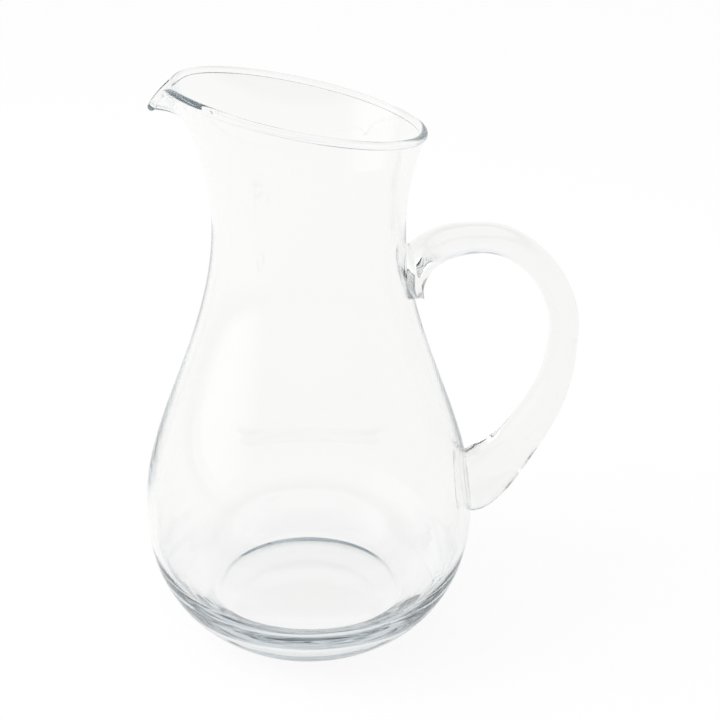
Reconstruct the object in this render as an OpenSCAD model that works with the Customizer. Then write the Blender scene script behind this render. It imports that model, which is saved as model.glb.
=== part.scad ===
// Clear glass pitcher: a round belly on a heavy floor, a drawn-in neck, a slanted mouth with a
// pulled pouring lip, and a solid glass handle that is fused to the neck and to the belly.
// Millimetres, +Z up. The origin is on the axis of the body, at the level of the table.
// The lip points to -X and the handle to +X.

/* [Body] */
// Outer diameter of the belly at its widest
belly_d = 140; // [115:1:170]
// Height of the belly's widest ring
belly_z = 54; // [45:1:66]
// Outer diameter of the ring that the pitcher stands on
base_d = 88; // [72:1:105]
// Roundness of the bowl under the belly, where 2 is an ellipse and more is squarer
bowl_power = 2.35; // [2:0.05:3]
// Outer diameter of the neck at its narrowest
neck_d = 76.6; // [62:0.2:94]
// Height of the neck's narrowest ring
neck_z = 179; // [148:1:215]
// How far the shoulder falls in under an even curve from belly to neck
shoulder_sag = 0.11; // [0:0.01:0.3]

/* [Glass] */
// Wall at the belly
belly_wall = 3.6; // [2:0.1:6]
// Wall at the neck
neck_wall = 2; // [1.6:0.1:2.3]
// Glass in the middle of the floor, above the table
floor_t = 7.5; // [5:0.1:14]
// Roundness of the inside of the bowl, as bowl_power
cavity_power = 2.85; // [2.4:0.05:4.5]
// Width of the ring that touches the table
foot_w = 1.3; // [1:0.1:4]
// Width of the bevel that leads from that ring up into the hollow under the floor
bevel_w = 2.2; // [1:0.1:4]
// Height of that bevel
bevel_h = 0.175; // [0.1:0.005:0.5]
// Height of the hollow in the middle
punt_h = 0.4; // [0.3:0.05:2]

/* [Mouth] */
// Height of the rim where its plane crosses the axis
rim_z = 223.5; // [205:0.5:270]
// Outer diameter of the flared mouth at that height
rim_d = 97; // [80:0.5:116]
// Slant of the rim, which is lowest at the handle
rim_tilt = 11.5; // [0:0.5:14]
// Thickness of the round bead along the rim
lip_t = 3.2; // [2.4:0.1:4.5]

/* [Pouring lip] */
// How far the tip stands out past the flared mouth
spout_out = 6.4; // [3:0.2:12]
// How far the tip dips under the plane of the rim
spout_dip = 10.5; // [4:0.5:14]
// Half of the angle that the pulled lip takes up
spout_half = 7.6; // [5:0.2:12]
// Height of the part of the mouth that is drawn out with the lip
spout_h = 19; // [14:0.5:24]

/* [Handle] */
// Thickness of the handle, seen from the side
handle_t = 12.1; // [9:0.1:15]
// Width of the handle across
handle_w = 14.6; // [10:0.1:19]
// How far the handle's back stands out past the belly
handle_out = 40.4; // [32:0.2:52]
// Height of the top of the handle
handle_top = 177.9; // [172:0.1:215]
// Height of the handle's outermost point
handle_mid = 132.5; // [110:0.5:150]
// Height of the upper edge of the upper joint
upper_joint_z = 169; // [140:0.5:172]
// Length of the upper joint down the neck, with its tail
upper_joint_l = 22.4; // [18:0.2:28]
// Thickness of the tail that hangs from the upper joint
tail_t = 3.8; // [2:0.1:6]
// Height of the upper edge of the lower joint
lower_joint_z = 76.6; // [63:0.2:92]
// Length of the lower joint down the belly
lower_joint_l = 28.6; // [22:0.2:35]
// Width of both joints
joint_w = 21; // [16:0.5:28]
// Height of the bend over the upper edge of the lower joint
bend_rise = 6.7; // [4:0.1:14]
// Thickness of the handle in the bend
bend_t = 18; // [14:0.2:22]
// Distance from the belly to the middle of the handle in the bend
bend_out = 24.7; // [20:0.1:30]

/* [Hidden] */

// Steps round the body, along each stretch of the wall, round the handle and along it
around = 72;
bowl_steps = 8;
shoulder_steps = 13;
mouth_steps = 7;
bead_steps = 9;
cavity_steps = 12;
punt_steps = 3;
handle_sides = 24;
span_steps = 9;
cap_steps = 3;
// Degrees by which the steps round the body crowd towards the lip and the handle
crowding = 12;
// How strongly the steps up the bowl crowd towards the foot, and those up the mouth towards the rim
bowl_crowding = 0.35;
mouth_crowding = 1.4;

belly_r = belly_d / 2;
base_r = base_d / 2;
neck_r = neck_d / 2;
foot_r = base_r - foot_w;
bevel_r = foot_r - bevel_w;
bowl_depth = belly_z / pow(1 - pow(base_r / belly_r, bowl_power), 1 / bowl_power);
flare = (rim_d / 2 - neck_r) / pow(rim_z - neck_z, 2);
cavity_r = belly_r - belly_wall;
// The foot is first drawn too deep and then cut level. The bevel runs on over this share of the ring
bevel_run = 0.4;
foot_cut = bevel_run * foot_w * bevel_h / bevel_w;
// The bead is round past the wall's thickness by this angle on each side, and the wall stops under it
bead_under = acos(neck_wall / lip_t);
bead_fillet = 0.3;
bead_drop = lip_t / 2 * sin(bead_under) + bead_fillet;
// Share of the mouth over which the direction of the wall is taken
tangent = 0.01;
// How late the pull and the dip of the lip set in, up the mouth
pull_power = 3;
dip_power = 1.6;
// Headings of the handle's outline where it leaves the upper joint, in degrees from +X towards +Z
upper_back_heading = 36.5;
upper_front_heading = 102;
// Headings in the bend, and slope of the section there
bend_back_heading = -117.5;
bend_front_heading = -125.5;
bend_slope = -115;
// Headings where it meets the lower joint
lower_back_heading = 177.5;
lower_front_heading = -144.5;
// Share of the way out from the neck at which the handle is highest
top_share = 0.47;
// How full each span of the handle's outline is
fullness = [1.33, 1.01, 1.27, 0.78];
// How far the bend's width is on the way from the handle's to the joint's
bend_share = 0.4;
// The glass runs in to the wall over this last stretch
joint_run = 0.8;
// Reach and halvings of the search for the wall, and the clearance of the joint's face from it
joint_reach = 25;
joint_halvings = 24;
joint_gap = 0.08;

function lerp(a, b, t) = a + (b - a) * t;
function smooth(t) = t * t * (3 - 2 * t);
function unit(v) = v / norm(v);

// Outer radius of the round body at a height
function bowl_r(z) =
  let (drop = (belly_z - z) / bowl_depth)
  belly_r * pow(max(0, 1 - pow(drop, bowl_power)), 1 / bowl_power);
function shoulder_r(z) =
  let (t = (z - belly_z) / (neck_z - belly_z))
  lerp(belly_r, neck_r, smooth(min(1, t + shoulder_sag * t * (1 - t))));
function mouth_r(z) = neck_r + flare * pow(z - neck_z, 2);
function outer_r(z) = z < belly_z ? bowl_r(z) : z < neck_z ? shoulder_r(z) : mouth_r(z);

// Height of the rim at an angle round the axis: the slanted plane meets the flared mouth
function rim_guess(a, r) = rim_z - tan(rim_tilt) * r * cos(a);
function rim_height(a) = rim_guess(a, outer_r(rim_guess(a, rim_d / 2)));

// Middle of the wall in the mouth, as [radius, height]: u runs from the neck, 0, to the rim, 1
function mouth_mid(u, a) =
  let (
    top = rim_height(a),
    z = lerp(neck_z, top, u),
    off = abs(a - 180) / spout_half,
    pull = max(0, 1 - (top - z) / spout_h),
    out = spout_out * exp(-off * off) * pow(pull, pull_power),
    dip = spout_dip / (1 + off * off) * pow(pull, dip_power)
  )
  [outer_r(z) - neck_wall / 2 + out, z - dip];
function mouth_dir(u, a) = unit(mouth_mid(u + tangent, a) - mouth_mid(u - tangent, a));
function rim_dir(a) = mouth_mid(1, a) - mouth_mid(1 - tangent, a);
// Point on the wall's outer face, side 1, or its inner one, side -1
function mouth_at(u, a, side) =
  let (v = u * (1 - tangent * bead_drop / norm(rim_dir(a))), d = mouth_dir(v, a))
  mouth_mid(v, a) + side * neck_wall / 2 * [d[1], -d[0]];
// Point on the bead, turned by an angle from the outer side, 0, to the inner one, 180
function bead_at(a, turn) =
  let (d = unit(rim_dir(a)))
  mouth_mid(1, a) + lip_t / 2 * (cos(turn) * [d[1], -d[0]] + sin(turn) * d);

function inner_r(z) = outer_r(z) - lerp(belly_wall, neck_wall, (z - belly_z) / (neck_z - belly_z));
function cavity_at(turn) = [
  cavity_r * pow(cos(turn), 2 / cavity_power),
  belly_z - (belly_z - floor_t) * pow(sin(turn), 2 / cavity_power)
];

// Angle of step i round the body, and a ring at [radius, height]
function step_angle(i) = 360 * i / around - crowding * sin(720 * i / around);
function turned(p, a) = [p[0] * cos(a), p[0] * sin(a), p[1]];
function hoop(p) = [for (i = [0:around - 1]) turned(p, step_angle(i))];
function mouth_hoop(u, side) = [
  for (i = [0:around - 1]) turned(mouth_at(u, step_angle(i), side), step_angle(i))
];
function bead_hoop(turn) = [
  for (i = [0:around - 1]) turned(bead_at(step_angle(i), turn), step_angle(i))
];

// Height of the first ring of the bowl, and the slope of the wall from the foot up to it
bowl_first = belly_z / bowl_steps / 5;
foot_slope = (bowl_r(bowl_first) - base_r) / bowl_first;
function bowl_height(k) = belly_z * sin(90 * k / bowl_steps) * lerp(bowl_crowding, 1, k / bowl_steps);
function mouth_share(k) = 1 - pow(1 - k / mouth_steps, mouth_crowding);

underside = concat(
  [for (k = [1:punt_steps])
    let (t = k / punt_steps) hoop([bevel_r * t, lerp(punt_h, bevel_h, smooth(t))])],
  [hoop([foot_r + bevel_run * foot_w, -foot_cut])],
  [hoop([base_r - foot_slope * foot_cut, -foot_cut])]
);
outside = concat(
  [hoop([bowl_r(bowl_first), bowl_first])],
  [for (k = [1:bowl_steps]) hoop([bowl_r(bowl_height(k)), bowl_height(k)])],
  [for (k = [1:shoulder_steps - 1])
    let (z = lerp(belly_z, neck_z, k / shoulder_steps)) hoop([outer_r(z), z])],
  [for (k = [0:mouth_steps]) mouth_hoop(mouth_share(k), 1)]
);
bead = [for (k = [0:bead_steps]) bead_hoop(lerp(-bead_under, 180 + bead_under, k / bead_steps))];
inside = concat(
  [for (k = [mouth_steps:-1:0]) mouth_hoop(mouth_share(k), -1)],
  [for (k = [shoulder_steps - 1:-1:1])
    let (z = lerp(belly_z, neck_z, k / shoulder_steps)) hoop([inner_r(z), z])],
  [for (k = [0:cavity_steps - 1]) hoop(cavity_at(90 * smooth(k / cavity_steps)))]
);

// Closed skin over rings of equal length, with a point at each end
module skin(first, rings, last) {
  n = len(rings[0]);
  m = len(rings);
  function at(j, i) = 1 + j * n + i % n;
  polyhedron(
    points = concat([first], [for (ring = rings) each ring], [last]),
    faces = concat(
      [for (i = [0:n - 1]) [0, at(0, i), at(0, i + 1)]],
      [for (j = [0:m - 2], i = [0:n - 1]) each [
        [at(j, i), at(j + 1, i), at(j + 1, i + 1)],
        [at(j, i), at(j + 1, i + 1), at(j, i + 1)]
      ]],
      [for (i = [0:n - 1]) [at(m - 1, i), 1 + m * n, at(m - 1, i + 1)]]
    )
  );
}

// Stations of the handle from the neck to the belly: [back, heading, front, heading, width]
handle_x = belly_r + handle_out;
tail_z = upper_joint_z - upper_joint_l;
heel_z = lower_joint_z - lower_joint_l;
top_x = lerp(outer_r(upper_joint_z), handle_x - handle_t / 2, top_share);
bend_z = lower_joint_z + bend_rise;
bend = [outer_r(bend_z) + bend_out, bend_z];
bend_half = bend_t / 2 * [-sin(bend_slope), cos(bend_slope)];
stations = [
  [[outer_r(upper_joint_z) + joint_run, upper_joint_z], upper_back_heading,
    [outer_r(tail_z) + tail_t, tail_z], upper_front_heading, joint_w],
  [[top_x, handle_top], 0, [top_x, handle_top - handle_t], 0, handle_w],
  [[handle_x, handle_mid], -90, [handle_x - handle_t, handle_mid], -90, handle_w],
  [bend + bend_half, bend_back_heading, bend - bend_half, bend_front_heading,
    lerp(handle_w, joint_w, bend_share)],
  [[outer_r(heel_z) + joint_run, heel_z], lower_back_heading,
    [outer_r(lower_joint_z) + joint_run, lower_joint_z], lower_front_heading, joint_w]
];
spans = len(stations) - 1;

function heading(a) = [cos(a), sin(a)];
// Point at t on a cubic curve between two points with headings
function curve(p, a, q, b, full, t) =
  let (pull = full * norm(q - p))
  (2 * t * t * t - 3 * t * t + 1) * p + (t * t * t - 2 * t * t + t) * pull * heading(a)
  + (3 * t * t - 2 * t * t * t) * q + (t * t * t - t * t) * pull * heading(b);
// Oval section between the back and the front of the handle, drawn smaller by a share inside a joint
function section(back, front, wide, share) =
  let (mid = (back + front) / 2, half = (back - front) / 2)
  [for (i = [0:handle_sides - 1])
    let (a = 360 * i / handle_sides, p = mid + share * cos(a) * half)
    [p[0], -share * wide / 2 * sin(a), p[1]]];
// Point slid along X until it stands off the outside of the body by a distance
function wall_gap(p) = norm([p[0], p[1]]) - outer_r(p[2]);
function slid(p, off, far, near, left) =
  let (mid = (far + near) / 2, q = p + [mid, 0, 0])
  left == 0 ? q
  : wall_gap(q) > off ? slid(p, off, mid, near, left - 1)
  : slid(p, off, far, mid, left - 1);
function on_wall(p, off) = slid(p, off, joint_reach, -joint_reach, joint_halvings);
// Rings of the handle, the free ones kept clear of the wall and those of the joints laid on it
function free_ring(s, t) =
  let (
    a = stations[s],
    b = stations[s + 1],
    back = curve(a[0], a[1], b[0], b[1], fullness[s], t),
    front = curve(a[2], a[3], b[2], b[3], fullness[s], t)
  )
  [for (p = section(back, front, lerp(a[4], b[4], smooth(t)), 1))
    wall_gap(p) < joint_run ? on_wall(p, joint_run) : p];
function joint_ring(station, share) = [
  for (p = section(station[0], station[2], station[4], share)) on_wall(p, joint_gap)
];

upper_joint = [for (k = [1:cap_steps]) joint_ring(stations[0], k / cap_steps)];
lower_joint = [for (k = [cap_steps:-1:1]) joint_ring(stations[spans], k / cap_steps)];
free_rings = concat(
  [for (s = [0:spans - 1], k = [0:span_steps - 1]) free_ring(s, k / span_steps)],
  [free_ring(spans - 1, 1)]
);

module vessel() {
  color("azure", 0.45)
    difference() {
      skin([0, 0, punt_h], concat(underside, outside, bead, inside), [0, 0, floor_t]);
      translate([-belly_r, -belly_r, -belly_r]) cube([belly_d, belly_d, belly_r]);
    }
}

module handle() {
  color("lightcyan", 0.6)
    skin(
      joint_ring(stations[0], 0)[0],
      concat(upper_joint, free_rings, lower_joint),
      joint_ring(stations[spans], 0)[0]
    );
}

vessel();
handle();
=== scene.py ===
import bpy, bmesh, math
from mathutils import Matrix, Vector


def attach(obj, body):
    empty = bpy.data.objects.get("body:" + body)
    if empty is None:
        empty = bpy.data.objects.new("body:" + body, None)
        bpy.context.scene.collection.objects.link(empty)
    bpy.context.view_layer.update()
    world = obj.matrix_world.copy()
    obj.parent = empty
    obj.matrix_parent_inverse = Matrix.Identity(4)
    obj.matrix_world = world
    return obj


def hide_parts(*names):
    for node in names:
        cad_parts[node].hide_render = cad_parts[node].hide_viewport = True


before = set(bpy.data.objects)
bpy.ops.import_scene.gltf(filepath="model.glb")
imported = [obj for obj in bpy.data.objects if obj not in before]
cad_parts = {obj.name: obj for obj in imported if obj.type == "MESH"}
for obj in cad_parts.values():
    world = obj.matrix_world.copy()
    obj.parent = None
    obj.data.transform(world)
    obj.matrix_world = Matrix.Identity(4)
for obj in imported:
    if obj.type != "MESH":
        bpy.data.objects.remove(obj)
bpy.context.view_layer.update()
scene = bpy.context.scene
mm = 0.001


def lerp(a, b, t):
    return a + (b - a) * t


def smooth(t):
    t = min(1, max(0, t))
    return t * t * (3 - 2 * t)


def newPiece(name, bm):
    mesh = bpy.data.meshes.new(name)
    bm.to_mesh(mesh)
    bm.free()
    for face in mesh.polygons:
        face.use_smooth = True
    piece = bpy.data.objects.new(name, mesh)
    scene.collection.objects.link(piece)
    return piece


# shader maths: one wrapper for sockets, one method for any other node
class Sock:
    def __init__(self, tree, link):
        self.tree, self.link = tree, link

    def maths(self, operation, other):
        return addNode(self.tree, "ShaderNodeMath", {"operation": operation}, {0: self, 1: other})

    def __add__(self, other):
        return self.maths("ADD", other)

    def __mul__(self, other):
        return self.maths("MULTIPLY", other)

    __radd__ = __add__
    __rmul__ = __mul__


def addNode(tree, kind, settings=None, inputs=None, output=0):
    node = tree.nodes.new(kind)
    for key, value in (settings or {}).items():
        if key == "stops":
            ramp = node.color_ramp
            while len(ramp.elements) < len(value):
                ramp.elements.new(0.5)
            for element, (position, colour) in zip(ramp.elements, value):
                element.position, element.color = position, colour
        else:
            setattr(node, key, value)
    for key, value in (inputs or {}).items():
        if isinstance(value, Sock):
            tree.links.new(value.link, node.inputs[key])
        else:
            node.inputs[key].default_value = value
    return Sock(tree, node.outputs[output])


# camera: fitted to the rim, the sides and the standing ring
view = {
    "sensor": 36.0, "lens": 62.0, "pitch": 24.072,
    "distance": 0.4680, "height": 0.3278, "shift": 0.07125,
}


def addCamera():
    camera = bpy.data.cameras.new("camera")
    camera.sensor_width = view["sensor"]
    camera.lens = view["lens"]
    camera.shift_x = view["shift"]
    holder = bpy.data.objects.new("camera", camera)
    holder.location = (0, -view["distance"], view["height"])
    holder.rotation_euler = (math.pi / 2 - math.radians(view["pitch"]), 0, 0)
    scene.collection.objects.link(holder)
    scene.camera = holder


addCamera()
print("camera set")

# vessel, in millimetres as in the CAD model
vesselSize = {
    "bellyR": 70.0, "bellyZ": 54.0, "baseR": 44.0, "bowlPower": 2.35,
    "neckR": 38.3, "neckZ": 179.0, "shoulderSag": 0.11,
    "bellyWall": 3.6, "neckWall": 2.0, "floor": 7.5, "cavityPower": 2.85,
    "footWidth": 1.3, "footRound": 0.3, "bevel": 2.2, "bevelRise": 0.175, "punt": 0.4,
    "rimZ": 223.5, "rimR": 48.5, "rimTilt": 11.5, "lip": 3.2, "beadFillet": 0.3,
    "spoutOut": 6.4, "spoutDip": 10.5, "spoutHalf": 7.6, "spoutHeight": 19.0,
    "outPower": 3, "dipPower": 1.6,
    # how fine the mesh is, and how far its steps crowd together at the lip
    "steps": 384, "crowding": 0.7, "puntRings": 8, "bevelRings": 6, "bowlRings": 26,
    "shoulderRings": 34, "mouthRings": 32, "beadRings": 36, "cavityRings": 34,
}
vs = vesselSize
bowlShare = 1 - (vs["baseR"] / vs["bellyR"]) ** vs["bowlPower"]
bowlDepth = vs["bellyZ"] / bowlShare ** (1 / vs["bowlPower"])
beadUnder = math.acos(vs["neckWall"] / vs["lip"])
flare = (vs["rimR"] - vs["neckR"]) / (vs["rimZ"] - vs["neckZ"]) ** 2
rimStep, wallStep = 0.02, 0.01  # shares of the mouth's height that give the wall's direction
plainRound, onBead = -1, 2  # values of u outside the wall of the mouth


def outerR(z):
    if z < vs["bellyZ"]:
        drop = (vs["bellyZ"] - z) / bowlDepth
        return vs["bellyR"] * max(0, 1 - drop ** vs["bowlPower"]) ** (1 / vs["bowlPower"])
    if z < vs["neckZ"]:
        t = (z - vs["bellyZ"]) / (vs["neckZ"] - vs["bellyZ"])
        return lerp(vs["bellyR"], vs["neckR"], smooth(t + vs["shoulderSag"] * t * (1 - t)))
    return vs["neckR"] + flare * (z - vs["neckZ"]) ** 2


def innerR(z):
    t = (z - vs["bellyZ"]) / (vs["neckZ"] - vs["bellyZ"])
    return outerR(z) - lerp(vs["bellyWall"], vs["neckWall"], t)


def rimHeight(angle):
    slope = math.tan(math.radians(vs["rimTilt"])) * math.cos(angle)
    first = vs["rimZ"] - slope * vs["rimR"]
    return vs["rimZ"] - slope * outerR(first)


def mouthMid(u, angle):
    # middle of the wall between neck and rim, pulled out and down at the lip
    top = rimHeight(angle)
    z = lerp(vs["neckZ"], top, u)
    off = (180 - abs(math.degrees(angle))) / vs["spoutHalf"]
    pull = max(0, 1 - (top - z) / vs["spoutHeight"])
    out = vs["spoutOut"] * math.exp(-off * off) * pull ** vs["outPower"]
    dip = vs["spoutDip"] / (1 + off * off) * pull ** vs["dipPower"]
    return Vector((outerR(z) - vs["neckWall"] / 2 + out, z - dip))


def mouthPoint(u, angle, turn):
    # up the wall u goes from 0 to 1, and past 1 it is on the bead, which turn goes round:
    # 0 is the outer face, pi the inner one
    rim = mouthMid(1, angle)
    toRim = rim - mouthMid(1 - rimStep, angle)
    if u > 1:
        along = toRim.normalized()
        across = Vector((along.y, -along.x))
        return rim + vs["lip"] / 2 * (math.cos(turn) * across + math.sin(turn) * along)
    drop = vs["lip"] / 2 * math.sin(beadUnder) + vs["beadFillet"]
    u *= 1 - rimStep * drop / toRim.length
    along = (mouthMid(u + wallStep, angle) - mouthMid(u - wallStep, angle)).normalized()
    across = Vector((along.y, -along.x))
    return mouthMid(u, angle) + vs["neckWall"] / 2 * math.cos(turn) * across


def footProfile():
    # from the middle of the hollow underside, down a bevel, out to the standing ring
    start = vs["baseR"] - vs["footWidth"] - vs["bevel"]
    points = [(0, vs["punt"])]
    for k in range(1, vs["puntRings"] + 1):
        t = k / vs["puntRings"]
        points.append((start * t, lerp(vs["punt"], vs["bevelRise"], smooth(t))))
    for k in range(1, vs["bevelRings"] + 1):
        t = k / vs["bevelRings"]
        points.append((start + vs["bevel"] * t, vs["bevelRise"] * (1 - t)))
    points.append((vs["baseR"] - vs["footRound"], 0))
    return points


def vesselProfile():
    # (radius, height, u, turn) from the underside up the outside and down the inside;
    # the mouth's radius and height are found later, from u and turn
    points = [(r, z, plainRound, 0) for r, z in footProfile()]
    for k in range(1, vs["bowlRings"] + 1):
        t = k / vs["bowlRings"]
        z = lerp(vs["footRound"], vs["bellyZ"], 1 - math.cos(math.pi / 2 * t) if t < 1 else 1)
        points.append((outerR(z), z, plainRound, 0))
    shoulder = [lerp(vs["bellyZ"], vs["neckZ"], k / vs["shoulderRings"])
                for k in range(1, vs["shoulderRings"])]
    points += [(outerR(z), z, plainRound, 0) for z in shoulder]
    # the wall stops under the bead, which is round past the wall's own thickness
    rise = [k / vs["mouthRings"] for k in range(vs["mouthRings"] + 1)]
    points += [(0, 0, u, 0) for u in rise]
    for k in range(vs["beadRings"] + 1):
        turn = lerp(-beadUnder, math.pi + beadUnder, k / vs["beadRings"])
        points.append((0, 0, onBead, turn))
    points += [(0, 0, u, math.pi) for u in reversed(rise)]
    points += [(innerR(z), z, plainRound, 0) for z in reversed(shoulder)]
    cavityR, cavityDepth = vs["bellyR"] - vs["bellyWall"], vs["bellyZ"] - vs["floor"]
    for k in range(vs["cavityRings"] + 1):
        a = math.pi / 2 * smooth(k / vs["cavityRings"])
        r = cavityR * max(0, math.cos(a)) ** (2 / vs["cavityPower"])
        z = vs["bellyZ"] - cavityDepth * math.sin(a) ** (2 / vs["cavityPower"])
        points.append((0 if k == vs["cavityRings"] else r, z, plainRound, 0))
    return points


def buildVessel():
    bm = bmesh.new()
    uLayer = bm.verts.layers.float.new("u")
    turnLayer = bm.verts.layers.float.new("turn")
    line = []
    for r, z, u, turn in vesselProfile():
        if u >= 0:
            r, z = mouthPoint(u, 0, turn)
        vert = bm.verts.new((r * mm, 0, z * mm))
        vert[uLayer], vert[turnLayer] = u, turn
        line.append(vert)
    edges = [bm.edges.new(pair) for pair in zip(line, line[1:])]
    bmesh.ops.spin(bm, geom=line + edges, cent=(0, 0, 0), axis=(0, 0, 1), angle=math.tau,
                   steps=vs["steps"], use_merge=True)
    bmesh.ops.remove_doubles(bm, verts=bm.verts, dist=1e-6)
    for vert in bm.verts:
        # the steps crowd together at the lip
        u, turn = vert[uLayer], vert[turnLayer]
        angle = math.atan2(vert.co.y, vert.co.x)
        angle += vs["crowding"] * math.sin(angle)
        r, z = math.hypot(vert.co.x, vert.co.y) / mm, vert.co.z / mm
        if u >= 0:
            r, z = mouthPoint(u, angle, turn)
        vert.co = (r * mm * math.cos(angle), r * mm * math.sin(angle), z * mm)
    for layer in ("u", "turn"):
        bm.verts.layers.float.remove(bm.verts.layers.float[layer])
    bmesh.ops.recalc_face_normals(bm, faces=bm.faces)
    return newPiece("blown_vessel", bm)


vessel = buildVessel()
print("vessel built", len(vessel.data.polygons))

# handle: an oval rod between a back and a front outline, in millimetres; each Turn is the way
# that the two outlines run there, in degrees
handleSize = {
    "thick": 12.1, "wide": 14.6, "back": 110.4, "top": 177.9, "midZ": 132.5, "topShare": 0.47,
    "upperZ": 169.0, "tailZ": 146.6, "tail": 3.8, "upperTurn": (36.5, 102.0),
    "bendOut": 24.7, "bendZ": 83.3, "bendThick": 18.0, "bendSlope": -115.0,
    "bendTurn": (-117.5, -125.5), "bendWiden": 0.4,
    "lowerZ": 76.6, "heelZ": 48.0, "lowerTurn": (177.5, -144.5),
    "jointWide": 21.0, "run": 0.8, "sink": 0.35, "fullness": (1.33, 1.01, 1.27, 0.78),
    "sides": 96, "rings": 30, "padRings": 4,
}
hs = handleSize
reach, halvings = 25, 30  # how far along X the wall is looked for, and how often that is halved


def towards(degrees):
    return Vector((math.cos(math.radians(degrees)), math.sin(math.radians(degrees))))


def byWall(out, z):
    return Vector((outerR(z) + out, z))


def handleStations():
    # each is (back point, its way, front point, its way, width)
    topX = lerp(outerR(hs["upperZ"]), hs["back"] - hs["thick"] / 2, hs["topShare"])
    bend = byWall(hs["bendOut"], hs["bendZ"])
    slope = math.radians(hs["bendSlope"])
    half = hs["bendThick"] / 2 * Vector((-math.sin(slope), math.cos(slope)))
    bendWide = lerp(hs["wide"], hs["jointWide"], hs["bendWiden"])
    return [
        (byWall(hs["run"], hs["upperZ"]), hs["upperTurn"][0],
         byWall(hs["tail"], hs["tailZ"]), hs["upperTurn"][1], hs["jointWide"]),
        (Vector((topX, hs["top"])), 0, Vector((topX, hs["top"] - hs["thick"])), 0, hs["wide"]),
        (Vector((hs["back"], hs["midZ"])), -90,
         Vector((hs["back"] - hs["thick"], hs["midZ"])), -90, hs["wide"]),
        (bend + half, hs["bendTurn"][0], bend - half, hs["bendTurn"][1], bendWide),
        (byWall(hs["run"], hs["heelZ"]), hs["lowerTurn"][0],
         byWall(hs["run"], hs["lowerZ"]), hs["lowerTurn"][1], hs["jointWide"]),
    ]


def outline(p, a, q, b, full, t):
    # a cubic from p, leaving at a, to q, arriving at b
    pull = full * (q - p).length
    return ((2 * t ** 3 - 3 * t * t + 1) * p + (t ** 3 - 2 * t * t + t) * pull * towards(a)
            + (3 * t * t - 2 * t ** 3) * q + (t ** 3 - t * t) * pull * towards(b))


def wallGap(x, y, z):
    return math.hypot(x, y) - outerR(z)


def slideToWall(x, y, z, off):
    far, near = x + reach, x - reach
    for k in range(halvings):
        middle = (far + near) / 2
        if wallGap(middle, y, z) > off:
            far = middle
        else:
            near = middle
    return (far + near) / 2


def ovalPoint(back, front, wide, share, angle):
    middle, half = (back + front) / 2, (back - front) / 2
    p = middle + share * math.cos(angle) * half
    return p.x, share * wide / 2 * math.sin(angle), p.y


def handleRings():
    # each ring is (back, front, width, share of the oval, stand-off from the wall or None)
    stations = handleStations()
    first, last = stations[0], stations[-1]
    shares = [k / hs["padRings"] for k in range(1, hs["padRings"] + 1)]
    rings = [(first[0], first[2], first[4], share, -hs["sink"]) for share in shares]
    for a, b, full in zip(stations, stations[1:], hs["fullness"]):
        # only the last stretch keeps its end ring
        for k in range(hs["rings"] + (b is last)):
            t = k / hs["rings"]
            rings.append((outline(a[0], a[1], b[0], b[1], full, t),
                          outline(a[2], a[3], b[2], b[3], full, t),
                          lerp(a[4], b[4], smooth(t)), 1, None))
    rings += [(last[0], last[2], last[4], share, -hs["sink"]) for share in reversed(shares)]
    return rings


def placeRing(verts, ring):
    back, front, wide, share, off = ring
    for k, vert in enumerate(verts):
        x, y, z = ovalPoint(back, front, wide, share, math.tau * k / len(verts))
        if off is not None:
            x = slideToWall(x, y, z, off)
        elif wallGap(x, y, z) < hs["run"]:
            x = slideToWall(x, y, z, hs["run"])
        vert.co = (x * mm, y * mm, z * mm)


def ringEdges(bm, verts):
    return [bm.edges.get((verts[k - 1], verts[k])) for k in range(len(verts))]


def placeKey(vert):
    return tuple(round(c, 9) for c in vert.co)


def buildHandle():
    bm = bmesh.new()
    verts = bmesh.ops.create_circle(bm, cap_ends=True, cap_tris=True, segments=hs["sides"],
                                    radius=1)["verts"]
    # the triangles of the cap meet at a vertex in its middle
    middle = [v for v in verts if v.co.length < 0.5]
    ringVerts = [v for v in verts if v.co.length >= 0.5]
    rings = handleRings()
    placeRing(ringVerts, rings[0])
    for v in middle:
        v.co = sum((r.co for r in ringVerts), Vector()) / len(ringVerts)
    for ring in rings[1:]:
        # the new vertices lie on the old ones, which tells their order
        made = bmesh.ops.extrude_edge_only(bm, edges=ringEdges(bm, ringVerts))["geom"]
        where = {placeKey(g): g for g in made if isinstance(g, bmesh.types.BMVert)}
        ringVerts = [where[placeKey(v)] for v in ringVerts]
        placeRing(ringVerts, ring)
    bmesh.ops.contextual_create(bm, geom=ringEdges(bm, ringVerts))
    bmesh.ops.triangulate(bm, faces=[f for f in bm.faces if len(f.verts) > 4])
    bmesh.ops.recalc_face_normals(bm, faces=bm.faces)
    return newPiece("fused_handle", bm)


handle = buildHandle()
print("handle built", len(handle.data.polygons))

# clear glass, greyer where it is thick: the body has the faint rings of a blown and turned wall,
# strongest low down and none inside the floor, and the handle the soft waves of a drawn rod
glassLook = {"ior": 1.5, "density": 14.0, "fadeTop": 0.2}
# depth, from (distances from the axis) and the heights in fade are in metres
bodyLook = {
    "base": (1, 1, 1, 1), "tint": (0.80, 0.83, 0.845, 1),
    "scale": (20, 20, 110), "depth": 0.00026, "from": (0.045, 0.049),
    "fade": ((0.0, 1.0), (0.028, 1.0), (0.042, 0.3), (0.060, 0.03)),
}
handleLook = {
    "base": (0.972, 0.973, 0.969, 1), "tint": (0.96, 0.961, 0.957, 1),
    "scale": (60, 140, 60), "depth": 0.001, "from": (0.038, 0.046),
    "fade": ((0.0, 1.0), (0.2, 1.0)),
}


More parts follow.
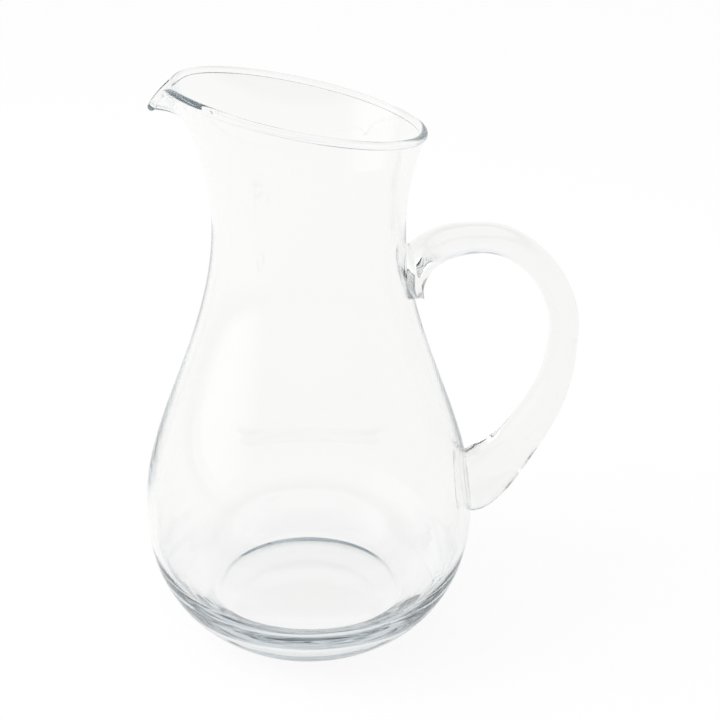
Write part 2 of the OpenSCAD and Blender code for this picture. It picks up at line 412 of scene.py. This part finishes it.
def addGlass(name, look):
    material = bpy.data.materials.new(name)
    material.use_nodes = True
    tree = material.node_tree
    shader = tree.nodes["Principled BSDF"]
    shader.inputs["Base Color"].default_value = look["base"]
    shader.inputs["Transmission Weight"].default_value = 1
    shader.inputs["Roughness"].default_value = 0
    shader.inputs["IOR"].default_value = glassLook["ior"]
    place = addNode(tree, "ShaderNodeTexCoord", output="Object")
    spot = addNode(tree, "ShaderNodeMapping", None, {"Vector": place, "Scale": look["scale"]})
    wave = addNode(tree, "ShaderNodeTexNoise", None,
                   {"Vector": spot, "Scale": 1.0, "Detail": 1.0})
    height = addNode(tree, "ShaderNodeSeparateXYZ", None, {0: place}, "Z")
    stops = [(z / glassLook["fadeTop"], (v, v, v, 1)) for z, v in look["fade"]]
    fade = addNode(tree, "ShaderNodeValToRGB", {"stops": stops},
                   {"Fac": height * (1 / glassLook["fadeTop"])})
    flat = addNode(tree, "ShaderNodeVectorMath", {"operation": "MULTIPLY"},
                   {0: place, 1: (1, 1, 0)})
    radius = addNode(tree, "ShaderNodeVectorMath", {"operation": "LENGTH"}, {0: flat}, "Value")
    start, full = look["from"]
    wall = addNode(tree, "ShaderNodeMapRange", None,
                   {"Value": radius, "From Min": start, "From Max": full})
    bump = addNode(tree, "ShaderNodeBump", None,
                   {"Height": wave * fade * wall * look["depth"], "Distance": 1.0})
    tree.links.new(bump.link, shader.inputs["Normal"])
    absorb = addNode(tree, "ShaderNodeVolumeAbsorption", None,
                     {"Color": look["tint"], "Density": glassLook["density"]})
    tree.links.new(absorb.link, tree.nodes["Material Output"].inputs["Volume"])
    return material


vessel.data.materials.append(addGlass("body_glass", bodyLook))
handle.data.materials.append(addGlass("handle_glass", handleLook))

for piece, node, slotName in ((vessel, "vessel", "body_glass"), (handle, "handle", "handle_glass")):
    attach(piece, "root")
    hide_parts(node)
print("glass set")

# stage: a pale floor, a white room and one soft box at the left, whose shape the glass doesn't
# mirror; ways are (turn from +Y to +X, rise) and heights in the room are angles, in degrees
stageLook = {
    "floorSize": 3.0, "floorDrop": 0.0003, "floorColour": (0.97, 0.97, 0.97, 1),
    "white": (1, 1, 1, 1), "throughGlass": (0.961, 0.960, 0.948, 1),
    "glow": 0.9, "glowThrough": 0.5,
}
roomLook = {
    "sweep": (0.965, 0.965, 0.965, 1), "wall": (0.90, 0.92, 0.94, 1),
    "dim": (0.48, 0.49, 0.48, 1), "gap": (0.01, 0.03, 0.05, 1),
    "ceiling": (0.95, 0.96, 0.97, 1), "strength": 0.84,
    "rise": ((13, "sweep"), (19, "wall"), (26, "wall"), (32, "dim"), (37, "dim"),
             (40, "gap"), (49, "gap"), (54, "wall"), (62, "ceiling")),
    "glowWay": (-100, 14), "glowSpread": (38, 8), "glowLift": (0.5, 0.5, 0.5, 1),
}
boxLook = {"size": 0.9, "watts": 9.0, "distance": 1.2, "way": (-100, 42)}


def wayTo(turn, rise):
    a, e = math.radians(turn), math.radians(rise)
    return Vector((math.sin(a) * math.cos(e), math.cos(a) * math.cos(e), math.sin(e)))


def rayIs(tree, kind):
    return addNode(tree, "ShaderNodeLightPath", output="Is " + kind + " Ray")


def mixColours(tree, factor, a, b, blend="MIX"):
    # inputs 6 and 7 of a Mix node are its colours, and output 2 is the mixed one
    return addNode(tree, "ShaderNodeMix", {"data_type": "RGBA", "blend_type": blend},
                   {"Factor": factor, 6: a, 7: b}, 2)


def addStage():
    bm = bmesh.new()
    bmesh.ops.create_grid(bm, x_segments=1, y_segments=1, size=stageLook["floorSize"])
    bmesh.ops.translate(bm, verts=bm.verts, vec=(0, 0, -stageLook["floorDrop"]))
    floor = newPiece("floor", bm)
    material = bpy.data.materials.new("floor_paper")
    material.use_nodes = True
    tree = material.node_tree
    paper = addNode(tree, "ShaderNodeBsdfDiffuse", None, {"Color": stageLook["floorColour"]})
    direct = rayIs(tree, "Camera")
    through = rayIs(tree, "Glossy") + rayIs(tree, "Transmission")
    colour = mixColours(tree, direct, stageLook["throughGlass"], stageLook["white"])
    glow = addNode(tree, "ShaderNodeEmission", None, {"Color": colour, "Strength": 1.0})
    seen = direct * stageLook["glow"] + through * stageLook["glowThrough"]
    mix = addNode(tree, "ShaderNodeMixShader", None, {0: seen, 1: paper, 2: glow})
    tree.links.new(mix.link, tree.nodes["Material Output"].inputs["Surface"])
    floor.data.materials.append(material)


def addRoom():
    # over the white sweep stand a pale wall with a dim and a dark band, and a ceiling, for what
    # the glass bends and mirrors; the camera itself sees white
    world = bpy.data.worlds.new("white_room")
    scene.world = world
    world.use_nodes = True
    tree = world.node_tree
    way = addNode(tree, "ShaderNodeTexCoord", output="Generated")
    height = addNode(tree, "ShaderNodeSeparateXYZ", None, {0: way}, "Z")
    # the ramp runs from straight down to straight up
    stops = [(0.5 + math.sin(math.radians(d)) / 2, roomLook[part]) for d, part in roomLook["rise"]]
    room = addNode(tree, "ShaderNodeValToRGB", {"stops": stops}, {"Fac": height * 0.5 + 0.5})
    near = addNode(tree, "ShaderNodeVectorMath", {"operation": "DOT_PRODUCT"},
                   {0: way, 1: wayTo(*roomLook["glowWay"])}, "Value")
    wide, core = [math.cos(math.radians(d)) for d in roomLook["glowSpread"]]
    glow = addNode(tree, "ShaderNodeMapRange", {"interpolation_type": "SMOOTHSTEP"},
                   {"Value": near, "From Min": wide, "From Max": core})
    room = mixColours(tree, glow, room, roomLook["glowLift"], "ADD")
    through = rayIs(tree, "Glossy") + rayIs(tree, "Transmission")
    seen = mixColours(tree, through, (roomLook["strength"],) * 3 + (1,), room)
    seen = mixColours(tree, rayIs(tree, "Camera"), seen, stageLook["white"])
    tree.links.new(seen.link, tree.nodes["Background"].inputs["Color"])
    tree.nodes["Background"].inputs["Strength"].default_value = 1.0


def addBox():
    lamp = bpy.data.lights.new("soft_box", "AREA")
    lamp.size = boxLook["size"]
    lamp.energy = boxLook["watts"]
    holder = bpy.data.objects.new("soft_box", lamp)
    way = wayTo(*boxLook["way"])
    holder.location = way * boxLook["distance"]
    holder.rotation_euler = way.to_track_quat("Z", "Y").to_euler()
    holder.visible_glossy = False
    holder.visible_transmission = False
    scene.collection.objects.link(holder)


addStage()
addRoom()
addBox()
scene.view_settings.view_transform = "Standard"
bounces = 256  # light runs far along the rim and the base, which are black with fewer
scene.cycles.max_bounces = bounces
scene.cycles.transmission_bounces = bounces
scene.cycles.glossy_bounces = bounces
print("stage set")
